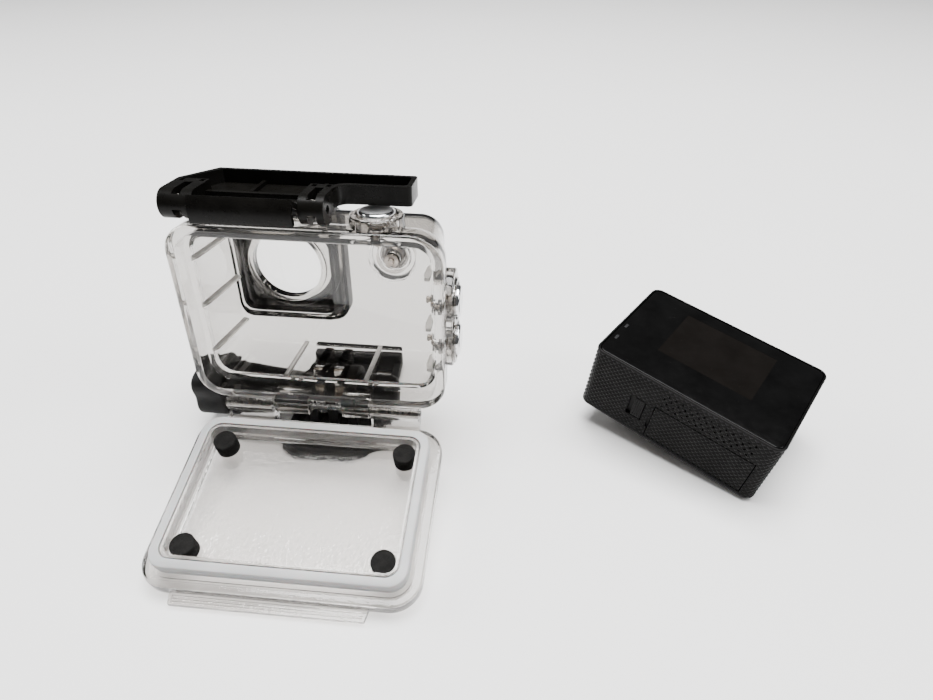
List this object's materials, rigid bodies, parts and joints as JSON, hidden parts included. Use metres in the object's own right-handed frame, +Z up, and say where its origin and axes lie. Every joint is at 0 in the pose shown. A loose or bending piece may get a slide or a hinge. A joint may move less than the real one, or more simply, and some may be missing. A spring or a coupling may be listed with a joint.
{
  "type": "action camera",
  "caption": "Compact action camera beside its open clear waterproof case, with a hinged sealed door, latch, push buttons and a quick-release buckle with a thumb screw.",
  "frame": {"origin": "on the buckle's underside, on its centre line and 22 mm behind its front end", "axes": "+Z up, +X to the right along the case's width, +Y from the case's open mouth towards its lens window"},
  "size_m": [0.1949, 0.1125, 0.0848],
  "materials": {
    "clear_polycarbonate": "clear moulded polycarbonate",
    "window_glass": "flat clear window",
    "bezel_plastic": "dark grey satin",
    "seal_rubber": "black rubber",
    "gasket_silicone": "white silicone",
    "steel": "stainless steel",
    "chrome_caps": "bright metal",
    "mount_plastic": "fine matte black",
    "latch_plastic": "satin black",
    "camera_body": "satin black, diamond texture on its sides",
    "camera_gloss": "gloss black",
    "lens_optic": "coated lens",
    "display": "dark display",
    "circuit_board": "dark green",
    "inner_parts": "dark grey"
  },
  "bodies": {
    "base": {"buckle": "mount_plastic", "mount_nut": "mount_plastic"},
    "thumb_screw": {"thumb_knob": "mount_plastic", "thumb_bolt": "steel"},
    "case": {"case_shell": "clear_polycarbonate", "lens_window": "window_glass", "lens_bezel": "bezel_plastic", "lens_seal": "seal_rubber", "bezel_screw_1": "steel", "bezel_screw_2": "steel", "bezel_screw_3": "steel", "bezel_screw_4": "steel", "hinge_pin": "steel", "latch_pin": "steel", "shutter_spring": "steel", "shutter_seal": "seal_rubber", "mode_spring": "steel", "mode_seal": "seal_rubber", "up_spring": "steel", "up_seal": "seal_rubber", "down_spring": "steel", "down_seal": "seal_rubber"},
    "door": {"door_panel": "clear_polycarbonate", "door_gasket": "gasket_silicone", "door_pad_1": "seal_rubber", "door_pad_2": "seal_rubber", "door_pad_3": "seal_rubber", "door_pad_4": "seal_rubber"},
    "latch_lever": {"latch_lever": "latch_plastic"},
    "latch_hook": {"latch_hook": "latch_plastic"},
    "shutter_button": {"shutter_cap": "chrome_caps", "shutter_stem": "steel"},
    "mode_button": {"mode_cap": "chrome_caps", "mode_stem": "steel"},
    "up_button": {"up_cap": "chrome_caps", "up_stem": "steel"},
    "down_button": {"down_cap": "chrome_caps", "down_stem": "steel"},
    "camera": {"camera_shell": "camera_body", "screen_glass": "camera_gloss", "lcd_panel": "display", "lens_ring": "camera_gloss", "lens_barrel": "camera_body", "lens_glass": "lens_optic", "image_sensor": "inner_parts", "main_board": "circuit_board", "battery": "inner_parts", "memory_card": "inner_parts", "speaker": "inner_parts"},
    "battery_door": {"battery_door": "camera_body"},
    "battery_latch": {"battery_latch": "camera_body"},
    "shutter_key": {"shutter_key": "camera_body"},
    "power_key": {"power_key": "camera_body"},
    "up_key": {"up_key": "camera_body"},
    "down_key": {"down_key": "camera_body"}
  },
  "joints": [
    {"name": "thumb_screw_turn", "type": "hinge", "parent": "base", "child": "thumb_screw", "pos_m": [0, -0.0022, 0.0125], "axis": [1, 0, 0], "continuous": true},
    {"name": "case_tilt", "type": "hinge", "parent": "base", "child": "case", "pos_m": [0, -0.0022, 0.0125], "axis": [1, 0, 0], "range_deg": [-55, 8]},
    {"name": "door_hinge", "type": "hinge", "parent": "case", "child": "door", "pos_m": [0, -0.01663, 0.01853], "axis": [-1, 0, 0], "range_deg": [0, 107.5]},
    {"name": "latch_lever_hinge", "type": "hinge", "parent": "case", "child": "latch_lever", "pos_m": [0, -0.01207, 0.08019], "axis": [1, 0, 0], "range_deg": [-3, 90]},
    {"name": "latch_hook_hinge", "type": "hinge", "parent": "case", "child": "latch_hook", "pos_m": [0, -0.01207, 0.08019], "axis": [1, 0, 0], "range_deg": [-20, 5]},
    {"name": "shutter_button_press", "type": "slide", "parent": "case", "child": "shutter_button", "axis": [0, -0.1191, -0.9929], "range_m": [0, 0.0015], "stiffness_N_per_m": 400, "springref_m": -0.001},
    {"name": "mode_button_press", "type": "slide", "parent": "case", "child": "mode_button", "axis": [0, -0.9929, 0.1191], "range_m": [0, 0.0015], "stiffness_N_per_m": 400, "springref_m": -0.001},
    {"name": "up_button_press", "type": "slide", "parent": "case", "child": "up_button", "axis": [-1, 0, 0], "range_m": [0, 0.0015], "stiffness_N_per_m": 400, "springref_m": -0.001},
    {"name": "down_button_press", "type": "slide", "parent": "case", "child": "down_button", "axis": [-1, 0, 0], "range_m": [0, 0.0015], "stiffness_N_per_m": 400, "springref_m": -0.001},
    {"name": "camera_lift", "type": "slide", "parent": "base", "child": "camera", "axis": [0, 0, 1], "range_m": [0, 0.06]},
    {"name": "battery_door_hinge", "type": "hinge", "parent": "camera", "child": "battery_door", "pos_m": [0.12452, -0.02312, 0.00907], "axis": [0.0883, -0.1028, 0.9908], "range_deg": [0, 100]},
    {"name": "battery_latch_slide", "type": "slide", "parent": "camera", "child": "battery_latch", "axis": [-0.8332, 0.5374, 0.13], "range_m": [0, 0.0013]},
    {"name": "shutter_key_press", "type": "slide", "parent": "camera", "child": "shutter_key", "axis": [-0.5458, -0.837, -0.0382], "range_m": [0, 0.0005], "stiffness_N_per_m": 500, "springref_m": -0.0004},
    {"name": "power_key_press", "type": "slide", "parent": "camera", "child": "power_key", "axis": [0.0883, -0.1028, 0.9908], "range_m": [0, 0.0005], "stiffness_N_per_m": 500, "springref_m": -0.0004},
    {"name": "up_key_press", "type": "slide", "parent": "camera", "child": "up_key", "axis": [-0.8332, 0.5374, 0.13], "range_m": [0, 0.0004], "stiffness_N_per_m": 500, "springref_m": -0.0004},
    {"name": "down_key_press", "type": "slide", "parent": "camera", "child": "down_key", "axis": [-0.8332, 0.5374, 0.13], "range_m": [0, 0.0004], "stiffness_N_per_m": 500, "springref_m": -0.0004}
  ]
}
